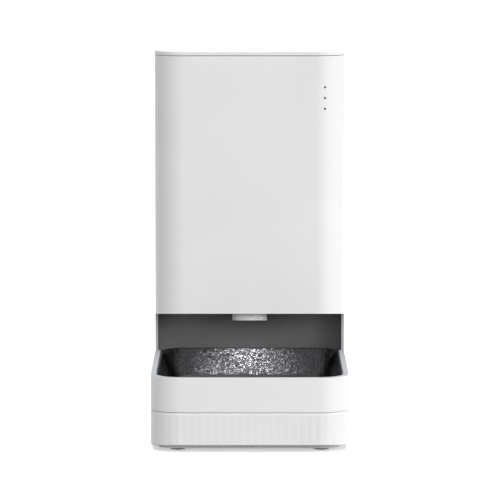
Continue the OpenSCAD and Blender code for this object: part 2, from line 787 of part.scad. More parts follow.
module lid_lock() color(pale) {
    slab([lock_knob[0], back - wall - 0.3, lock_z - knob_hz], [lock_knob[1], back - 0.3, lock_z + knob_hz]);
    slab([lock_plate[0], lock_plate_y, lock_z - plate_hz],
        [lock_plate[1], back - wall - fit, lock_z + plate_hz]);
    slab([lock_bolt[0], hook_y + fit, lock_z - bolt_hz],
        [lock_bolt[1], lock_plate_y + eps, lock_z + bolt_hz]);
}

module lock_guide() color(pale) for (s = [-1, 1]) {
    rail_z = lock_z + s * (plate_hz + fit + rail_w / 2);
    lip_mid = lock_z + s * (plate_hz - 0.6);
    slab([lock_rail[0], back - wall - rail_h, rail_z - rail_w / 2],
        [lock_rail[1], back - wall, rail_z + rail_w / 2]);
    slab([lock_rail[0], back - wall - rail_h, lip_mid - 0.9],
        [lock_rail[1], back - wall - rail_h + rail_lip, lip_mid + 0.9]);
}

outer_shell();
base_tub();
base_plate();
rubber_feet();
base_screws();
shell_screws();
niche_liner();
bowl_cradle();
food_bowl();
food_spout();
chute_sensors();
rotor_chamber();
chamber_screws();
portion_shield();
wiper_strip();
deck();
deck_screws();
grain_bucket();
rotor_shaft();
rotor_hub();
rotor_vanes();
agitator();
output_gear();
compound_gear();
gear_pin();
motor_pinion();
motor();
gearbox_case();
gearbox_cover();
gearbox_screws();
main_board();
board_parts();
board_screws();
power_jack();
feed_button();
feed_switch();
led_board();
leds();
light_pipes();
motor_lead();
sensor_lead();
lid_top();
lid_liner();
lid_seal();
lid_screws();
desiccant_cup();
desiccant_pack();
desiccant_cap();
lid_lock();
lock_guide();
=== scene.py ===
import json
import math

import bmesh
import bpy
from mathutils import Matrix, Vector


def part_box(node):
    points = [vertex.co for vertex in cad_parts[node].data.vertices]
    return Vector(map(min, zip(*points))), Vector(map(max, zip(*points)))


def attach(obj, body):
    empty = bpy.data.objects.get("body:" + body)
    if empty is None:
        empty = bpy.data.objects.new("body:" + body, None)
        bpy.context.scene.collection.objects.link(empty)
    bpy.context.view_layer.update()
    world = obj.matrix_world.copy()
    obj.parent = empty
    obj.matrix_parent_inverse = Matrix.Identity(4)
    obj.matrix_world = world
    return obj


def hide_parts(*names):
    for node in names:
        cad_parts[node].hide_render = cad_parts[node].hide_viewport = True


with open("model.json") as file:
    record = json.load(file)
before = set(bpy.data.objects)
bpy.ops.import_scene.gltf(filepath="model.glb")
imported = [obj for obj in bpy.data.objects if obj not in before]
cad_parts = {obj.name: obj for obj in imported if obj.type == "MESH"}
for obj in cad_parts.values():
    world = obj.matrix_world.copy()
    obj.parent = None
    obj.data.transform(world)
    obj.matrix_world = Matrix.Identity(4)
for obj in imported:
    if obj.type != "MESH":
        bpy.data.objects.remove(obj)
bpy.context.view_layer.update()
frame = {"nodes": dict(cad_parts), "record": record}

MM = 0.001


# ---------------------------------------------------------------- sizes, from the frame where it has them

def side(node, axis, high):
    """One side of a CAD node's box, in metres."""
    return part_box(node)[1 if high else 0][axis]


X, Y, Z = 0, 1, 2
HALF_W = side("outer_shell", X, True)
FRONT = side("outer_shell", Y, False)
BACK = side("outer_shell", Y, True)
SHELL_LOW = side("outer_shell", Z, False)
SHELL_TOP = side("outer_shell", Z, True)
TOWER_FRONT = side("lid_top", Y, False)
NICHE_TOP = side("niche_liner", Z, True) - 2 * MM
CORNER = 26 * MM
WALL = 2.5 * MM
RIM_W = 4.8 * MM
RIM_Z = side("food_bowl", Z, True) + 0.7 * MM
LIP_Z = RIM_Z - 2.9 * MM
ARC_Y = TOWER_FRONT + CORNER
NICHE_DROP = 3.3 * MM
SIDE_TOP = NICHE_TOP - NICHE_DROP
DOT_R = 0.9 * MM
SPOUT_HALF = 15.5 * MM


# ---------------------------------------------------------------- mesh tools

class Skin:
    """Collects faces whose corners are shared wherever they meet."""

    def __init__(self):
        self.points = []
        self.index = {}
        self.faces = []

    def point(self, p):
        key = tuple(round(c, 7) for c in p)
        if key not in self.index:
            self.index[key] = len(self.points)
            self.points.append(key)
        return self.index[key]

    def face(self, *corners):
        ids = [self.point(p) for p in corners]
        kept = [v for i, v in enumerate(ids) if v != ids[i - 1]]
        if len(kept) > 2:
            self.faces.append(kept)

    def strip(self, a, b, closed=False):
        n = len(a)
        for i in range(n if closed else n - 1):
            j = (i + 1) % n
            self.face(a[i], a[j], b[j], b[i])

    def loft(self, rings, closed=True, cap_first=False, cap_last=False):
        for a, b in zip(rings, rings[1:]):
            self.strip(a, b, closed)
        if cap_first:
            self.face(*rings[0])
        if cap_last:
            self.face(*rings[-1])

    def build(self, name):
        mesh = bpy.data.meshes.new(name)
        mesh.from_pydata(self.points, [], self.faces)
        bm = bmesh.new()
        bm.from_mesh(mesh)
        bmesh.ops.recalc_face_normals(bm, faces=bm.faces)
        for f in bm.faces:
            f.smooth = True
        bm.to_mesh(mesh)
        bm.free()
        obj = bpy.data.objects.new(name, mesh)
        bpy.context.scene.collection.objects.link(obj)
        return obj


def arc(cx, cy, r, start, end, steps=16):
    """Points along an arc in plan, from one angle in degrees to another."""
    angles = [math.radians(start + (end - start) * i / steps) for i in range(steps + 1)]
    return [(cx + r * math.cos(a), cy + r * math.sin(a)) for a in angles]


def plan(half_w, low, high, r, steps=16):
    """A closed rounded rectangle in plan, anticlockwise."""
    x, y0, y1 = half_w - r, low + r, high - r
    return (arc(x, y1, r, 0, 90, steps) + arc(-x, y1, r, 90, 180, steps)
            + arc(-x, y0, r, 180, 270, steps) + arc(x, y0, r, 270, 360, steps))


def at(points, z):
    return [(x, y, z) for x, y in points]


def grown_plan(half_w, low, high, r, grow, z, steps=16):
    """A rounded rectangle grown outwards by grow, at height z."""
    return at(plan(half_w + grow, low - grow, high + grow, max(r + grow, 0.5 * MM), steps), z)


def edge_round(radius, z_edge, upwards, steps=6):
    """(inset, height) pairs that round an edge whose flat face lies at z_edge."""
    turn = 1 if upwards else -1
    pairs = []
    for i in range(steps + 1):
        a = math.radians(90 * i / steps)
        pairs.append((radius * (1 - math.cos(a)), z_edge - turn * radius * (1 - math.sin(a))))
    return pairs


def lathe(name, profile, centre, axis="Z", segments=48):
    """A turned solid. profile is (radius, height) from end to end; centre is the point at height 0."""
    skin = Skin()
    rings = []
    for r, h in profile:
        ring = []
        for i in range(segments):
            a = 2 * math.pi * i / segments
            u, v = r * math.cos(a), r * math.sin(a)
            local = Vector((u, v, h)) if axis == "Z" else Vector((u, h, -v))
            ring.append(tuple(Vector(centre) + local))
        rings.append(ring)
    skin.loft(rings, cap_first=profile[0][0] > 0, cap_last=profile[-1][0] > 0)
    return skin.build(name)


def block(name, low, high):
    """A box from its lowest corner to its highest."""
    skin = Skin()
    base = [(low[0], low[1]), (high[0], low[1]), (high[0], high[1]), (low[0], high[1])]
    skin.loft([at(base, low[2]), at(base, high[2])], cap_first=True, cap_last=True)
    return skin.build(name)


def cut(obj, cutters):
    """Cuts solids out of obj and removes them."""
    bpy.context.view_layer.objects.active = obj
    for cutter in cutters:
        mod = obj.modifiers.new("cut", "BOOLEAN")
        mod.object = cutter
        mod.solver = "EXACT"
        bpy.ops.object.modifier_apply(modifier=mod.name)
        bpy.data.objects.remove(cutter)


def soften(obj, width, segments=3, angle=35):
    """Rounds the sharp edges and keeps flat faces flat."""
    mod = obj.modifiers.new("round", "BEVEL")
    mod.width = width
    mod.segments = segments
    mod.limit_method = "ANGLE"
    mod.angle_limit = math.radians(angle)
    mod.miter_outer = "MITER_ARC"
    mod.harden_normals = True
    for poly in obj.data.polygons:
        poly.use_smooth = True


def place(obj, body, slot, material, *stands_for):
    """Gives a new piece its material and body, and hides the CAD nodes that it stands for; slot is not used.
    """
    obj.data.materials.clear()
    obj.data.materials.append(material)
    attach(obj, body)
    if stands_for:
        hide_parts(*stands_for)
    return obj


# ---------------------------------------------------------------- materials

def new_material(name):
    mat = bpy.data.materials.new(name)
    mat.use_nodes = True
    nodes = mat.node_tree.nodes
    return mat, nodes, mat.node_tree.links, nodes["Principled BSDF"]


def noise(nodes, links, coords, scale, detail=3.0, rough=0.5):
    tex = nodes.new("ShaderNodeTexNoise")
    tex.inputs["Scale"].default_value = scale
    tex.inputs["Detail"].default_value = detail
    tex.inputs["Roughness"].default_value = rough
    links.new(coords, tex.inputs["Vector"])
    return tex.outputs["Fac"]


def remap(nodes, links, value, low, high):
    node = nodes.new("ShaderNodeMapRange")
    node.inputs["From Min"].default_value = 0.3
    node.inputs["From Max"].default_value = 0.7
    node.inputs["To Min"].default_value = low
    node.inputs["To Max"].default_value = high
    links.new(value, node.inputs["Value"])
    return node.outputs["Result"]


def two_tone(nodes, links, value, dark, light):
    ramp = nodes.new("ShaderNodeValToRGB")
    ramp.color_ramp.elements[0].position = 0.3
    ramp.color_ramp.elements[0].color = (*dark, 1)
    ramp.color_ramp.elements[1].position = 0.7
    ramp.color_ramp.elements[1].color = (*light, 1)
    links.new(value, ramp.inputs["Fac"])
    return ramp.outputs["Color"]


def bump(nodes, links, value, strength, distance, previous=None):
    node = nodes.new("ShaderNodeBump")
    node.inputs["Strength"].default_value = strength
    node.inputs["Distance"].default_value = distance
    links.new(value, node.inputs["Height"])
    if previous:
        links.new(previous, node.inputs["Normal"])
    return node.outputs["Normal"]


def moulded(name, colour, rough=0.42, grain=2200, depth=0.02, spread=0.015, specular=0.5):
    """Moulded plastic: a fine spark-eroded grain over slow changes of tone and gloss."""
    mat, nodes, links, shader = new_material(name)
    coords = nodes.new("ShaderNodeTexCoord").outputs["Object"]
    cloud = noise(nodes, links, coords, 14, 4)
    fine = noise(nodes, links, coords, grain, 2)
    dark = tuple(max(c - spread, 0) for c in colour)
    light = tuple(min(c + spread, 1) for c in colour)
    links.new(two_tone(nodes, links, cloud, dark, light), shader.inputs["Base Color"])
    links.new(remap(nodes, links, fine, rough - 0.05, rough + 0.05), shader.inputs["Roughness"])
    links.new(bump(nodes, links, fine, 0.25, depth * MM), shader.inputs["Normal"])
    shader.inputs["Specular IOR Level"].default_value = specular
    return mat


def metal(name, colour, rough, grain, depth, spread=0.2, stretch=(1, 1, 1)):
    """Worked metal: grain, stretched where it is brushed, that breaks up the shine."""
    mat, nodes, links, shader = new_material(name)
    coords = nodes.new("ShaderNodeTexCoord").outputs["Object"]
    mapping = nodes.new("ShaderNodeMapping")
    mapping.inputs["Scale"].default_value = stretch
    links.new(coords, mapping.inputs["Vector"])
    fine = noise(nodes, links, mapping.outputs["Vector"], grain, 2)
    cloud = noise(nodes, links, coords, 25, 3)
    dark = tuple(c * (1 - spread) for c in colour)
    light = tuple(min(c * (1 + spread), 1) for c in colour)
    links.new(two_tone(nodes, links, cloud, dark, light), shader.inputs["Base Color"])
    links.new(remap(nodes, links, fine, rough - 0.08, rough + 0.08), shader.inputs["Roughness"])
    links.new(bump(nodes, links, fine, 0.5, depth * MM), shader.inputs["Normal"])
    shader.inputs["Metallic"].default_value = 1.0
    return mat


FACET_TILT = 0.21       # spread of the facets' normals, as a share of the normal's length
FACETS_PER_METRE = 1500


def blasted_steel():
    """Dark bead-blasted steel: small facets, each tilted its own way, that catch the light one by one."""
    mat, nodes, links, shader = new_material("blasted_steel")
    coords = nodes.new("ShaderNodeTexCoord").outputs["Object"]
    cells = nodes.new("ShaderNodeTexVoronoi")
    cells.inputs["Scale"].default_value = FACETS_PER_METRE
    links.new(coords, cells.inputs["Vector"])
    tilt = nodes.new("ShaderNodeVectorMath")
    tilt.operation = "MULTIPLY_ADD"
    tilt.inputs[1].default_value = (FACET_TILT,) * 3
    tilt.inputs[2].default_value = (-FACET_TILT / 2,) * 3
    links.new(cells.outputs["Color"], tilt.inputs[0])
    facing = nodes.new("ShaderNodeVectorMath")
    facing.operation = "ADD"
    links.new(nodes.new("ShaderNodeNewGeometry").outputs["Normal"], facing.inputs[0])
    links.new(tilt.outputs[0], facing.inputs[1])
    facet = nodes.new("ShaderNodeVectorMath")
    facet.operation = "NORMALIZE"
    links.new(facing.outputs[0], facet.inputs[0])
    fine = noise(nodes, links, coords, 1500, 2, 0.6)
    cloud = noise(nodes, links, coords, 30, 3)
    shade = nodes.new("ShaderNodeSeparateColor")
    links.new(cells.outputs["Color"], shade.inputs[0])
    links.new(two_tone(nodes, links, shade.outputs[0], (0.115, 0.117, 0.124), (0.285, 0.287, 0.302)),
              shader.inputs["Base Color"])
    links.new(remap(nodes, links, cloud, 0.15, 0.23), shader.inputs["Roughness"])
    links.new(bump(nodes, links, fine, 0.7, 0.03 * MM, facet.outputs[0]), shader.inputs["Normal"])
    shader.inputs["Metallic"].default_value = 1.0
    return mat


def soft_rubber(name, colour, rough=0.6):
    """Silicone or rubber with a dusty bloom."""
    mat, nodes, links, shader = new_material(name)
    coords = nodes.new("ShaderNodeTexCoord").outputs["Object"]
    cloud = noise(nodes, links, coords, 60, 4)
    fine = noise(nodes, links, coords, 2600, 2)
    dark = tuple(c * 0.85 for c in colour)
    light = tuple(min(c * 1.15, 1) for c in colour)
    links.new(two_tone(nodes, links, cloud, dark, light), shader.inputs["Base Color"])
    links.new(remap(nodes, links, cloud, rough - 0.06, rough + 0.1), shader.inputs["Roughness"])
    links.new(bump(nodes, links, fine, 0.3, 0.03 * MM), shader.inputs["Normal"])
    shader.inputs["Sheen Weight"].default_value = 0.15
    return mat


def woven(name, colour, pitch=1.2):
    """Non-woven sachet cloth: crossed fibres and a pressed dot pattern."""
    mat, nodes, links, shader = new_material(name)
    coords = nodes.new("ShaderNodeTexCoord").outputs["Object"]
    fibres = noise(nodes, links, coords, 900, 5, 0.7)
    dots = nodes.new("ShaderNodeTexVoronoi")
    dots.inputs["Scale"].default_value = 1000 / pitch
    dots.inputs["Randomness"].default_value = 0.0
    links.new(coords, dots.inputs["Vector"])
    dark = tuple(c * 0.9 for c in colour)
    links.new(two_tone(nodes, links, fibres, dark, colour), shader.inputs["Base Color"])
    pressed = bump(nodes, links, dots.outputs["Distance"], 0.5, 0.2 * MM)
    links.new(bump(nodes, links, fibres, 0.5, 0.1 * MM, pressed), shader.inputs["Normal"])
    shader.inputs["Roughness"].default_value = 0.85
    return mat


MATERIALS = {
    "white_plastic": moulded("white_moulding", (0.66, 0.66, 0.66), specular=0.3),
    "base_plastic": moulded("base_moulding", (0.65, 0.65, 0.65), specular=0.3),
    "lid_plastic": moulded("lid_moulding", (0.66, 0.66, 0.66), specular=0.3),
    "dark_plastic": moulded("niche_moulding", (0.12, 0.12, 0.122), rough=0.55, grain=1800,
                            depth=0.03, spread=0.006),
    "plate_plastic": moulded("plate_moulding", (0.45, 0.45, 0.453), rough=0.5, spread=0.01),
    "inner_plastic": moulded("inner_moulding", (0.62, 0.63, 0.64), rough=0.45),
    "spout_plastic": moulded("spout_moulding", (0.78, 0.78, 0.78), rough=0.35),
    "bucket_plastic": moulded("bucket_moulding", (0.70, 0.72, 0.74), rough=0.22, depth=0.008),
    "gear_plastic": moulded("acetal", (0.78, 0.76, 0.70), rough=0.35),
    "black_parts": moulded("black_moulding", (0.025, 0.025, 0.026), rough=0.45, spread=0.004),
    "board": moulded("solder_mask", (0.02, 0.11, 0.05), rough=0.3, grain=500, depth=0.05, spread=0.012),
    "led": moulded("led_cap", (0.75, 0.73, 0.60), rough=0.15),
    "pipe": moulded("smoked_pipe", (0.045, 0.045, 0.05), rough=0.25, spread=0.004),
    "lead_red": moulded("wire_sleeve", (0.42, 0.02, 0.015), rough=0.4),
    "bowl_steel": blasted_steel(),
    "screw_steel": metal("zinc_plate", (0.60, 0.60, 0.62), 0.3, 1500, 0.02),
    "motor_steel": metal("drawn_steel", (0.52, 0.52, 0.54), 0.35, 900, 0.02, stretch=(1, 1, 0.05)),
    "brass": metal("machined_brass", (0.70, 0.52, 0.22), 0.28, 1400, 0.02),
    "rubber": soft_rubber("rubber", (0.11, 0.11, 0.112)),
    "silicone": soft_rubber("silicone", (0.58, 0.62, 0.65), 0.45),
    "sachet": woven("sachet_cloth", (0.80, 0.80, 0.76)),
}


# Painted light: the lid's top panel is a brighter white than the casing, for the light that falls on the top.
PANEL_PAINTED_LIGHT_MATERIAL = moulded("panel_painted_light", (0.93, 0.93, 0.93), rough=0.5, spread=0.01, specular=0.0)
# Painted shade: a darker bluish grey on the tray's rim and on the front ends of the casing's side walls, for
# the shade that falls there.
RIM_PAINTED_SHADE_MATERIAL = moulded("rim_painted_shade", (0.36, 0.37, 0.39), specular=0.3)


# ---------------------------------------------------------------- casing

def rear_path(inset):
    """The casing's rear U in plan, from its right front end round to its left one."""
    r = CORNER - inset
    cx, cy = HALF_W - CORNER, BACK - CORNER
    return ([(HALF_W - inset, ARC_Y)] + arc(cx, cy, r, 0, 90) + arc(-cx, cy, r, 90, 180)
            + [(-HALF_W + inset, ARC_Y)])


def tower_path(inset):
    """The tower's front in plan, from left to right."""
    r = CORNER - inset
    cx = HALF_W - CORNER
    return arc(-cx, ARC_Y, r, 180, 270) + arc(cx, ARC_Y, r, 270, 360)


def tray_path(inset):
    """The tray's wall in plan, from its left end round the front to its right end."""
    r = CORNER - inset
    cx, cy = HALF_W - CORNER, FRONT + CORNER
    return ([(-HALF_W + inset, ARC_Y)] + arc(-cx, cy, r, 180, 270) + arc(cx, cy, r, 270, 360)
            + [(HALF_W - inset, ARC_Y)])


def niche_edge(path):
    """The tower's lower edge, which falls towards the back."""
    return [(x, y, NICHE_TOP - NICHE_DROP * (y - TOWER_FRONT) / CORNER) for x, y in path]


def make_shell():
    """Tower and tray wall in one piece, open at the niche."""
    skin = Skin()
    walls = [
        (rear_path(0), [SHELL_LOW, RIM_Z, SIDE_TOP, SHELL_TOP]),
        (rear_path(WALL), [SHELL_LOW, LIP_Z, RIM_Z, SIDE_TOP, SHELL_TOP]),
        (tray_path(0), [SHELL_LOW, RIM_Z]),
        (tray_path(WALL), [SHELL_LOW, LIP_Z]),
        (tray_path(RIM_W), [LIP_Z, RIM_Z]),
    ]
    for path, levels in walls:
        skin.loft([at(path, z) for z in levels], closed=False)
    for inset in (0, WALL):
        skin.strip(niche_edge(tower_path(inset)), at(tower_path(inset), SHELL_TOP))
    skin.strip(niche_edge(tower_path(0)), niche_edge(tower_path(WALL)))
    flats = [
        (rear_path, 0, WALL, SHELL_LOW), (tray_path, 0, WALL, SHELL_LOW),
        (rear_path, 0, WALL, SHELL_TOP), (tower_path, 0, WALL, SHELL_TOP), (tray_path, 0, WALL, RIM_Z),
        (tray_path, WALL, RIM_W, RIM_Z), (tray_path, WALL, RIM_W, LIP_Z),
    ]
    for path, outer, inner, z in flats:
        skin.strip(at(path(outer), z), at(path(inner), z))
    for s in (-1, 1):
        out, inn, lip = s * HALF_W, s * (HALF_W - WALL), s * (HALF_W - RIM_W)
        skin.face((out, ARC_Y, RIM_Z), (inn, ARC_Y, RIM_Z), (inn, ARC_Y, SIDE_TOP), (out, ARC_Y, SIDE_TOP))
        skin.face((inn, ARC_Y, LIP_Z), (lip, ARC_Y, LIP_Z), (lip, ARC_Y, RIM_Z), (inn, ARC_Y, RIM_Z))
    shell = skin.build("casing")
    cut(shell, shell_holes())
    place(shell, "housing", "white_plastic", MATERIALS["white_plastic"], "outer_shell")
    shell.data.materials.append(RIM_PAINTED_SHADE_MATERIAL)
    # The rim's top, the inside of its lip and the side walls' front ends take the painted-shade grey.
    for poly in shell.data.polygons:
        on_rim = LIP_Z + 0.1 * MM < poly.center.z < RIM_Z + 0.1 * MM and abs(poly.normal.z) > 0.9
        inside_lip = poly.normal.z == 0 and LIP_Z < poly.center.z < RIM_Z and poly.center.y < ARC_Y
        side_end = (abs(poly.normal.y) > 0.9 and abs(poly.center.y - ARC_Y) < 0.1 * MM
                    and RIM_Z < poly.center.z < SIDE_TOP and abs(poly.center.x) > HALF_W - WALL)
        poly.material_index = 1 if on_rim or inside_lip or side_end else 0
    soften(shell, 0.8 * MM)
    return shell


def shell_holes():
    """Cutters for the light pipes, the rear button, the inlet and the lock's window."""
    cutters = []
    for z in pipe_heights():
        profile = [(DOT_R + 0.1 * MM, -4 * MM), (DOT_R + 0.1 * MM, 4 * MM)]
        cutters.append(lathe("hole", profile, (pipe_x(), TOWER_FRONT, z), "Y", 32))
    for node, r in (("feed_button", 6.2 * MM), ("power_jack", 4.2 * MM)):
        low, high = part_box(node)
        centre = (low + high) / 2
        cutters.append(lathe("hole", [(r, -5 * MM), (r, 5 * MM)], (centre.x, BACK, centre.z), "Y", 48))
    low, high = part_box("lid_lock")
    cutters.append(block("hole", (low.x + 2 * MM, BACK - 4 * MM, low.z + 1.5 * MM),
                         (high.x + 4 * MM, BACK + 4 * MM, high.z - 1.5 * MM)))
    return cutters


def pipe_x():
    low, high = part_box("light_pipes")
    return (low.x + high.x) / 2


def pipe_heights():
    low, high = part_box("leds")
    middle = (low.z + high.z) / 2
    pitch = (high.z - low.z - 1.6 * MM) / 2
    return [middle - pitch, middle, middle + pitch]


def length_plan(half_w, low, high, r, count):
    """count (point, outward direction) pairs, evenly spaced round a rounded rectangle."""
    straights = [high - low - 2 * r, 2 * (half_w - r)] * 2
    corners = [(half_w - r, high - r), (-half_w + r, high - r), (-half_w + r, low + r), (half_w - r, low + r)]
    quarter = math.pi / 2 * r
    total = sum(straights) + 4 * quarter
    pairs = []
    for i in range(count):
        s = total * i / count
        for k in range(4):
            a0 = math.pi / 2 * k
            out = Vector((math.cos(a0), math.sin(a0)))
            along = Vector((-out.y, out.x))
            corner = Vector(corners[k])
            if s <= straights[k]:
                pairs.append((corner + out * r - along * (straights[k] - s), out))
                break
            s -= straights[k]
            if s <= quarter:
                a = a0 + s / r
                turned = Vector((math.cos(a), math.sin(a)))
                pairs.append((corner + turned * r, turned))
                break
            s -= quarter
    return pairs


FLUTE_PITCH = 6.66 * MM
FLUTE_DEPTH = 0.13 * MM
LEDGE_DEPTH = 0.45 * MM
FLUTE_STEPS = 8
FLOOR_Z = 6.4 * MM
TOE = 18 * MM


def make_tub():
    """Base band with fine upright flutes; its skirt lifts at the front and the rear."""
    low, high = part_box("base_tub")
    straight = 2 * (high.y - low.y) + 2 * (high.x - low.x) - 8 * CORNER + 2 * math.pi * CORNER
    flutes = round(straight / FLUTE_PITCH)
    pairs = length_plan(high.x, low.y, high.y, CORNER, flutes * FLUTE_STEPS)

    def valley(i):
        """0 on a rib's crest, 1 at the bottom of the groove between two ribs."""
        t = (i % FLUTE_STEPS) / FLUTE_STEPS
        return (0.5 - 0.5 * math.cos(2 * math.pi * t)) ** 1.5

    def lifted(y, z):
        """Raises the skirt's lower edge near the front and the rear, less and less further up."""
        near = max(0, 1 - min(y - low.y, high.y - y) / TOE)
        fade = max(0, 1 - (z - low.z) / (9 * MM))
        return z + (FLOOR_Z - low.z) * near * fade

    def ring(inset, z, fluted, ledge=0.0):
        points = []
        for i, (p, out) in enumerate(pairs):
            sunk = inset + max(FLUTE_DEPTH * valley(i) * fluted, LEDGE_DEPTH * ledge)
            points.append((p.x - out.x * sunk, p.y - out.y * sunk, lifted(p.y, z)))
        return points

    rings = [ring(WALL, FLOOR_Z, 0), ring(WALL, low.z, 0)]
    rings += [ring(inset, z, 0) for inset, z in reversed(edge_round(0.9 * MM, low.z, False))]
    rings += [ring(0, low.z + 2.0 * MM, 0), ring(0, low.z + 2.8 * MM, 0.7), ring(0, low.z + 3.8 * MM, 1),
              ring(0, low.z + 12 * MM, 1)]
    rings += [ring(0, high.z - drop * MM, 1) for drop in (2.2, 1.7)]
    rings += [ring(0, high.z - 1.2 * MM, 1, 0.5)]
    rings += [ring(0, high.z - drop * MM, 1, 1) for drop in (0.8, 0.25)] + [ring(0.25 * MM, high.z, 1, 1)]
    rings += [ring(WALL, high.z, 0), ring(WALL, FLOOR_Z + WALL, 0)]
    skin = Skin()
    skin.loft(rings, cap_first=True, cap_last=True)
    return place(skin.build("fluted_base"), "housing", "base_plastic", MATERIALS["base_plastic"], "base_tub")


def make_lid():
    """Thin lid: a frame with a softly rounded edge, and a top panel set into it whose brighter white is
    painted light on the top.
    """
    low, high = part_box("lid_top")
    size = (high.x, low.y, high.y, CORNER)
    panel_in = 1.5 * MM
    sunk = 1.0 * MM
    rings = [grown_plan(*size, -3 * MM, low.z + 2.2 * MM), grown_plan(*size, -3 * MM, low.z)]
    rings += [grown_plan(*size, -0.35 * MM, low.z), grown_plan(*size, -0.1 * MM, low.z + 0.1 * MM),
              grown_plan(*size, 0, low.z + 0.35 * MM)]
    rings += [grown_plan(*size, 0, low.z + 0.45 * MM), grown_plan(*size, 0, high.z - 1.35 * MM)]
    rings += [grown_plan(*size, -inset, z) for inset, z in edge_round(1.0 * MM, high.z - 0.25 * MM, True)]
    rings += [grown_plan(*size, -panel_in, high.z - 0.24 * MM), grown_plan(*size, -panel_in, high.z - sunk)]
    skin = Skin()
    skin.loft(rings, cap_first=True, cap_last=True)
    place(skin.build("lid"), "lid", "lid_plastic", MATERIALS["lid_plastic"], "lid_top")

    gap = panel_in + 0.12 * MM
    rings = [grown_plan(*size, -gap, high.z - sunk + 0.05 * MM), grown_plan(*size, -gap, high.z - 0.34 * MM),
             grown_plan(*size, -gap - 0.1 * MM, high.z - 0.24 * MM),
             grown_plan(*size, -8 * MM, high.z - 0.12 * MM), grown_plan(*size, -16 * MM, high.z - 0.03 * MM),
             grown_plan(*size, -24 * MM, high.z)]
    skin = Skin()
    skin.loft(rings, cap_first=True, cap_last=True)
    # The panel's brighter white is painted light.
    place(skin.build("lid_panel"), "lid", "lid_plastic", PANEL_PAINTED_LIGHT_MATERIAL, "lid_top")


def make_dots():
    """Three smoked ends of the light pipes, a hair below the casing's face."""
    r, sunk, front = DOT_R, 0.02 * MM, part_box("light_pipes")[0].y
    profile = [(r, 3 * MM), (r, sunk + 0.2 * MM), (0.8 * r, sunk + 0.05 * MM), (0.4 * r, sunk), (0, sunk)]
    for i, z in enumerate(pipe_heights()):
        dot = lathe(f"light_dot_{i}", profile, (pipe_x(), front, z), "Y", 32)
        place(dot, "housing", "pipe", MATERIALS["pipe"], "light_pipes")


# ---------------------------------------------------------------- niche, bowl and spout

def make_niche():
    """Dark niche: one smooth wall that curves from the casing's sides into the back, and a ceiling."""
    low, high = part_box("niche_liner")
    back = high.y - 2 * MM
    side_x = high.x - 0.1 * MM
    front = ARC_Y + 0.2 * MM
    r = back - front
    inner = arc(side_x - r, front, r, 0, 90, 28) + arc(-side_x + r, front, r, 90, 180, 28)
    outer = [(x * (side_x + 0.1 * MM) / side_x, y + (2 * MM if y > front + MM else 0)) for x, y in inner]
    skin = Skin()
    for path in (inner, outer):
        skin.strip(at(path, low.z), at(path, NICHE_TOP))
    for z in (low.z, NICHE_TOP):
        skin.strip(at(inner, z), at(outer, z))
    for end in (0, -1):
        near, far = inner[end], outer[end]
        skin.face((*near, low.z), (*far, low.z), (*far, NICHE_TOP), (*near, NICHE_TOP))
    wall = skin.build("niche_wall")
    soften(wall, 0.2 * MM, 2)
    place(wall, "housing", "dark_plastic", MATERIALS["dark_plastic"], "niche_liner")

    inset = WALL + 0.3 * MM
    edge = tower_path(inset) + [(HALF_W - inset, high.y), (-HALF_W + inset, high.y)]
    skin = Skin()
    skin.loft([at(edge, NICHE_TOP), at(edge, high.z)], cap_first=True, cap_last=True)
    ceiling = skin.build("niche_ceiling")
    spout_low, spout_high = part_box("food_spout")
    around = SPOUT_HALF + 0.2 * MM
    cut(ceiling, [block("hole", (-around, spout_low.y + 1.8 * MM, low.z),
                        (around, spout_high.y + 0.2 * MM, high.z + 5 * MM))])
    soften(ceiling, 0.3 * MM)
    place(ceiling, "housing", "dark_plastic", MATERIALS["dark_plastic"], "niche_liner")


def make_bowl():
    """Pressed steel bowl: rolled lip, sloped walls, wide bottom curve."""
    low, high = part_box("food_bowl")
    size = (high.x, low.y, high.y, 20.8 * MM)
    slope = math.tan(math.radians(20))
    bend = 11 * MM
    turn = math.radians(70)
    lip = 0.5 * MM
    wall = 1.0 * MM

    def wall_rings(shift, floor, lip_z):
        """Rings down the inside (shift 0) or up the outside, from the lip to the floor."""
        start = 1.5 * MM + shift
        end_z = floor + bend * (1 - math.cos(turn))
        end_in = start + (lip_z - end_z) * slope
        found = [(start, lip_z)]
        found += [(start + (end_in - start) * t, lip_z + (end_z - lip_z) * t)
                  for t in (0.01, 0.03, 0.25, 0.5, 0.75, 1.0)]
        for i in range(1, 9):
            a = turn * (1 - i / 8)
            found.append((end_in + bend * (math.sin(turn) - math.sin(a)), floor + bend * (1 - math.cos(a))))
        found += [(found[-1][0] + 12 * MM, floor)]
        return found

    def ring(inset, z):
        r = max(size[3] - inset * 0.75, 6 * MM)
        return at(plan(size[0] - inset, size[1] + inset, size[2] - inset, r, 16), z)

    inside = wall_rings(0, low.z + wall, high.z - 0.3 * MM)
    outside = wall_rings(-wall * 0.6, low.z, high.z - wall)
    roll = [(0.9 * MM, high.z), (0.35 * MM, high.z - 0.08 * MM), (0, high.z - lip), (0.2 * MM, high.z - wall)]
    rings = [ring(*p) for p in reversed(inside)] + [ring(*p) for p in roll] + [ring(*p) for p in outside]
    skin = Skin()
    skin.loft(rings, cap_first=True, cap_last=True)
    return place(skin.build("steel_bowl"), "bowl", "bowl_steel", MATERIALS["bowl_steel"], "food_bowl")


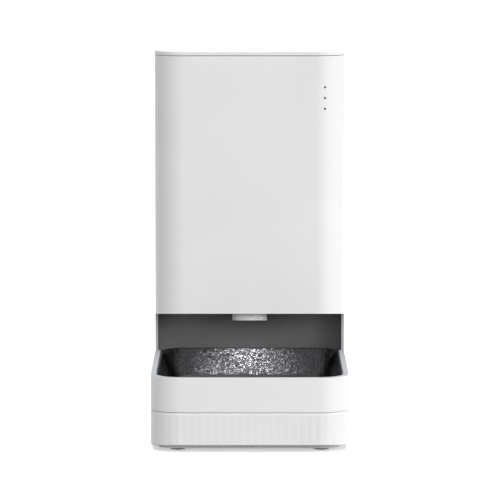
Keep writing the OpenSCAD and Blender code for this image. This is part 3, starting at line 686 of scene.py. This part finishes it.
def make_spout():
    """Short spout with a front that bows forward and a lower edge that rises slightly in the middle."""
    low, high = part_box("food_spout")
    half, front, back = SPOUT_HALF, low.y + 2 * MM, high.y
    bow_out = 8 * MM
    arch = 0.85 * MM
    steps = 20

    def loop(inset, level):
        w = half - inset
        across = [-w + 2 * w * i / steps for i in range(steps + 1)]
        curve = [(x, front + inset + bow_out * (x / half) ** 2) for x in across]
        points = curve + [(w, back - inset), (-w, back - inset)]
        if level is None:
            return [(x, y, low.z + arch * (1 - (x / half) ** 2)) for x, y in points]
        return at(points, level)

    wall = 1.5 * MM
    lifted = [(x, y, z + 0.3 * MM) for x, y, z in loop(0, None)]
    skin = Skin()
    skin.loft([loop(0, high.z), lifted, loop(0.3 * MM, None), loop(wall, None),
               loop(wall, high.z), loop(0, high.z)])
    spout = skin.build("spout")
    soften(spout, 0.25 * MM, 2, 40)
    return place(spout, "housing", "spout_plastic", MATERIALS["spout_plastic"], "food_spout")


# ---------------------------------------------------------------- feet, controls and bucket

def make_feet():
    """Four turned rubber feet with a rounded edge and two shallow grip rings underneath."""
    low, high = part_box("rubber_feet")
    r, top = 7 * MM, high.z
    profile = [(0, 0.5 * MM), (2.0 * MM, 0.5 * MM), (2.3 * MM, 0), (3.6 * MM, 0), (3.9 * MM, 0.35 * MM),
               (4.6 * MM, 0.35 * MM), (4.9 * MM, 0), (r - 1.0 * MM, 0), (r - 0.45 * MM, 0.1 * MM),
               (r - 0.12 * MM, 0.4 * MM), (r, 0.9 * MM), (r, top - 0.3 * MM), (r - 0.3 * MM, top), (0, top)]
    spots = [(x, y) for x in (low.x + r, high.x - r) for y in (low.y + r, high.y - r)]
    for i, (x, y) in enumerate(spots):
        foot = lathe(f"foot_{i}", profile, (x, y, low.z), "Z", 56)
        soften(foot, 0.12 * MM, 2)
        place(foot, "housing", "rubber", MATERIALS["rubber"], "rubber_feet")


def make_button():
    """Round feed button with a dished face and a retaining flange behind the wall."""
    low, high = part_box("feed_button")
    r = 6 * MM
    length = high.y - low.y
    flange_0, flange_1 = length - 4.7 * MM, length - 2.6 * MM
    middle = (low + high) / 2
    flange_r = high.x - middle.x
    stem = [(0, 0), (r - 0.3 * MM, 0), (r, 0.3 * MM), (r, flange_0), (flange_r, flange_0),
            (flange_r, flange_1), (r, flange_1)]
    edge = [(r, length - 0.7 * MM), (r - 0.1 * MM, length - 0.35 * MM), (r - 0.35 * MM, length - 0.1 * MM),
            (r - 0.7 * MM, length), (r - 1.1 * MM, length - 0.1 * MM)]
    dish = [(3.0 * MM, length - 0.55 * MM), (1.2 * MM, length - 0.7 * MM), (0, length - 0.72 * MM)]
    button = lathe("feed_button_cap", stem + edge + dish, (middle.x, low.y, middle.z), "Y", 64)
    soften(button, 0.1 * MM, 2, 50)
    place(button, "feed_button", "inner_plastic", MATERIALS["inner_plastic"], "feed_button")


def make_lock():
    """Sliding lock: a ribbed knob on a plate, with the bolt that reaches the lid's hook."""
    low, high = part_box("lid_lock")
    left, right = low.x + 2.5 * MM, high.x - 2.5 * MM
    bottom, top = low.z + 1.9 * MM, high.z - 1.9 * MM
    plate_back = high.y - 4.0 * MM
    side_y = plate_back + 1.2 * MM
    margin, flat, chamfer, ribs, rib_steps = 3.4 * MM, 2.6 * MM, 0.6 * MM, 6, 6
    face = []
    for i in range(ribs * rib_steps + 1):
        t = i / (ribs * rib_steps)
        x = left + margin + (right - left - 2 * margin) * t
        face.append((x, high.y - 0.75 * MM + 0.7 * MM * abs(math.cos(math.pi * ribs * t)) ** 0.7))
    left_end = [(left, side_y), (left, high.y - chamfer), (left + chamfer, high.y), (left + flat, high.y)]
    right_end = [(right - flat, high.y), (right - chamfer, high.y),
                 (right, high.y - chamfer), (right, side_y)]
    outline = left_end + face + right_end
    skin = Skin()
    skin.loft([at(outline, bottom), at(outline, top)], cap_first=True, cap_last=True)
    grip = skin.build("lock_knob")
    soften(grip, 0.25 * MM, 2, 50)
    plate = block("lock_plate", (low.x, plate_back - 0.3 * MM, low.z),
                  (high.x, plate_back + 1.3 * MM, high.z))
    soften(plate, 0.3 * MM, 2)
    middle_z, bolt_half = (low.z + high.z) / 2, 2 * MM
    bolt = block("lock_bolt", (low.x + 7 * MM, low.y, middle_z - bolt_half),
                 (low.x + 13.5 * MM, plate_back, middle_z + bolt_half))
    soften(bolt, 0.4 * MM, 2)
    for piece in (grip, plate, bolt):
        place(piece, "lid_lock", "inner_plastic", MATERIALS["inner_plastic"], "lid_lock")


def make_bucket():
    """Milky food bucket: rolled rim, rounded walls and a funnel that eases into the round throat."""
    low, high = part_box("grain_bucket")
    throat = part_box("deck")[0].z + 2.5 * MM
    flange = 4 * MM
    half, y0, y1 = high.x - flange, low.y + 2.5 * MM, high.y - 2.5 * MM
    axis_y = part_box("rotor_hub")[0].y + 10 * MM
    funnel_top, neck_top = 200 * MM, 158 * MM
    wall = 2 * MM
    side_r, throat_r = 20 * MM, 50 * MM

    def ring(inset, z):
        return at(plan(half - inset, y0 + inset, y1 - inset, side_r - inset, 24), z)

    def neck(inset, z):
        """A circle with as many points as the box ring, each in the direction of its corner."""
        points = []
        for x, y in plan(half, y0, y1, side_r, 24):
            a = math.atan2(y - axis_y, x)
            points.append((math.cos(a) * (throat_r - inset), axis_y + math.sin(a) * (throat_r - inset), z))
        return points

    def blend(inset, t):
        """Part-way down the funnel: 0 at the box, 1 at the neck."""
        a, b = ring(inset, funnel_top), neck(inset, neck_top)
        return [tuple(p + (q - p) * t for p, q in zip(pa, pb)) for pa, pb in zip(a, b)]

    steps = [i / 8 for i in range(9)]
    outside = [neck(0, throat + 0.3 * MM), neck(0, throat + 0.6 * MM)]
    outside += [blend(0, t) for t in reversed(steps)]
    outside += [ring(0, funnel_top + MM), ring(0, high.z - 2.3 * MM), ring(-0.2 * MM, high.z - 2 * MM)]
    rim = [ring(-2.4 * MM, high.z - 2 * MM), ring(-2.5 * MM, high.z - 1.7 * MM),
           ring(-2.5 * MM, high.z - 0.5 * MM), ring(-2.0 * MM, high.z),
           ring(wall - 0.4 * MM, high.z), ring(wall, high.z - 0.4 * MM)]
    inside = [ring(wall, funnel_top + MM)] + [blend(wall, t) for t in steps]
    inside += [neck(wall, throat + 0.6 * MM), neck(wall, throat + 0.3 * MM), neck(0, throat + 0.3 * MM)]
    skin = Skin()
    skin.loft(outside + rim + inside)
    bucket = skin.build("food_bucket")
    cut(bucket, [block("hole", (-9 * MM, y1 + 0.2 * MM, high.z - 3 * MM), (9 * MM, BACK, high.z + MM))])
    place(bucket, "housing", "bucket_plastic", MATERIALS["bucket_plastic"], "grain_bucket")


# ---------------------------------------------------------------- everything that keeps its CAD shape

def dress_nodes():
    """Gives every CAD node the material of its slot, and softens the edges of those that show."""
    slots = {s["node"]: s["material_slot"] for s in frame["record"]["subparts"]}
    rounded = {"base_plate": 0.5, "rubber_feet": 0.6, "niche_liner": 0.4, "bowl_cradle": 0.3, "deck": 0.3,
               "feed_button": 0.5, "lid_lock": 0.4, "lid_liner": 0.5, "desiccant_cup": 0.3,
               "grain_bucket": 0.3}     # bevel widths in mm
    for name, obj in frame["nodes"].items():
        obj.data.materials.clear()
        obj.data.materials.append(MATERIALS[slots[name]])
        if name in rounded:
            soften(obj, rounded[name] * MM, 2)


# ---------------------------------------------------------------- studio

def bowl_spot(name, height, distance, cone, power):
    """A small lamp that the bowl's back wall mirrors towards the camera, at one height of that wall."""
    lamp = bpy.data.lights.new(name, "SPOT")
    lamp.energy = power
    lamp.spot_size = math.radians(cone)
    lamp.spot_blend = 1.0
    lamp.shadow_soft_size = 0.012
    aim = Vector((-0.002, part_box("food_bowl")[1].y - 6 * MM, height))
    a = math.radians(32)
    away = Vector((0, -math.cos(a), math.sin(a)))
    obj = bpy.data.objects.new(name, lamp)
    obj.location = aim + away * distance
    obj.rotation_euler = away.to_track_quat("Z", "Y").to_euler()
    bpy.context.scene.collection.objects.link(obj)


def sun_light(name, azimuth, elevation, spread, strength):
    """Even light from far off. Azimuth 0 is the front and 90 the right, in degrees."""
    lamp = bpy.data.lights.new(name, "SUN")
    lamp.energy = strength
    lamp.angle = math.radians(spread)
    a, e = math.radians(azimuth), math.radians(elevation)
    towards = Vector((math.sin(a) * math.cos(e), -math.cos(a) * math.cos(e), math.sin(e)))
    obj = bpy.data.objects.new(name, lamp)
    obj.rotation_euler = towards.to_track_quat("Z", "Y").to_euler()
    obj.visible_glossy = False
    bpy.context.scene.collection.objects.link(obj)


def paper(name, glow):
    """White studio paper that glows a little, so that shadows on it stay faint."""
    mat = moulded(name, (0.97, 0.97, 0.97), rough=0.7, grain=40, spread=0.004)
    shader = next(n for n in mat.node_tree.nodes if n.type == "BSDF_PRINCIPLED").inputs
    shader["Emission Color"].default_value = (1, 1, 1, 1)
    shader["Emission Strength"].default_value = glow
    return mat


def make_studio():
    """Soft suns, the bowl's two lamps, a pale floor and a white backdrop far behind everything."""
    scene = bpy.context.scene
    scene.view_settings.view_transform = "Standard"
    world = bpy.data.worlds.new("studio")
    scene.world = world
    world.use_nodes = True
    background = world.node_tree.nodes["Background"]
    background.inputs["Color"].default_value = (1, 1, 1, 1)
    background.inputs["Strength"].default_value = WORLD_LIGHT
    for name, azimuth, elevation, spread, strength in SUNS:
        sun_light(name, azimuth, elevation, spread, strength)
    for name, height, distance, cone, power in BOWL_SPOTS:
        bowl_spot(name, height, distance, cone, power)
    skin = Skin()
    reach = FLOOR_REACH
    skin.face((-reach, -reach, 0), (reach, -reach, 0), (reach, reach, 0), (-reach, reach, 0))
    floor = skin.build("floor")
    floor.data.materials.append(paper("pale_floor", FLOOR_GLOW))
    backdrop = lathe("backdrop", [(0.9 * reach, -1), (0.9 * reach, reach / 2)], (0, 0, 0), "Z", 96)
    backdrop.data.materials.append(paper("pale_backdrop", 1))
    backdrop.visible_shadow = False
    backdrop.visible_glossy = False
    for sheet in (floor, backdrop):
        sheet.visible_diffuse = False


WORLD_LIGHT = 0.25
# name, azimuth, elevation and spread in degrees, strength
SUNS = [("overhead", 0, 88, 70, 3.3), ("right_far", 80, 14, 26, 1.75), ("right_near", 42, 14, 26, 1.45),
        ("front_fill", -10, 14, 26, 0.42), ("left_near", -35, 14, 26, 0.6), ("left_far", -75, 14, 26, 0.06),
        ("rear_fill", 178, 25, 50, 1.3)]
# name, height aimed at and distance in metres, cone in degrees, power
BOWL_SPOTS = [("spot_high", 0.063, 0.35, 7.0, 0.33), ("spot_low", 0.031, 0.8, 8.0, 1.5)]
FLOOR_GLOW = 0.4
FLOOR_REACH = 60

CAMERA_SIDE = 0.0003
CAMERA_BACK = 3.0146
CAMERA_HEIGHT = 0.482
CAMERA_TILT = 6.153     # degrees below level
CAMERA_LENS = 244.656   # millimetres, on the sensor below
SENSOR = 36
SEES_TO = 100


def make_camera():
    camera = bpy.data.cameras.new("camera")
    camera.sensor_width = SENSOR
    camera.lens = CAMERA_LENS
    camera.clip_end = SEES_TO
    obj = bpy.data.objects.new("camera", camera)
    obj.location = (CAMERA_SIDE, -CAMERA_BACK, CAMERA_HEIGHT)
    obj.rotation_euler = (math.radians(90 - CAMERA_TILT), 0, 0)
    bpy.context.scene.collection.objects.link(obj)
    bpy.context.scene.camera = obj


make_camera()
make_studio()
dress_nodes()
make_shell()
make_tub()
make_lid()
make_dots()
make_niche()
make_bowl()
make_spout()
make_feet()
make_button()
make_lock()
make_bucket()
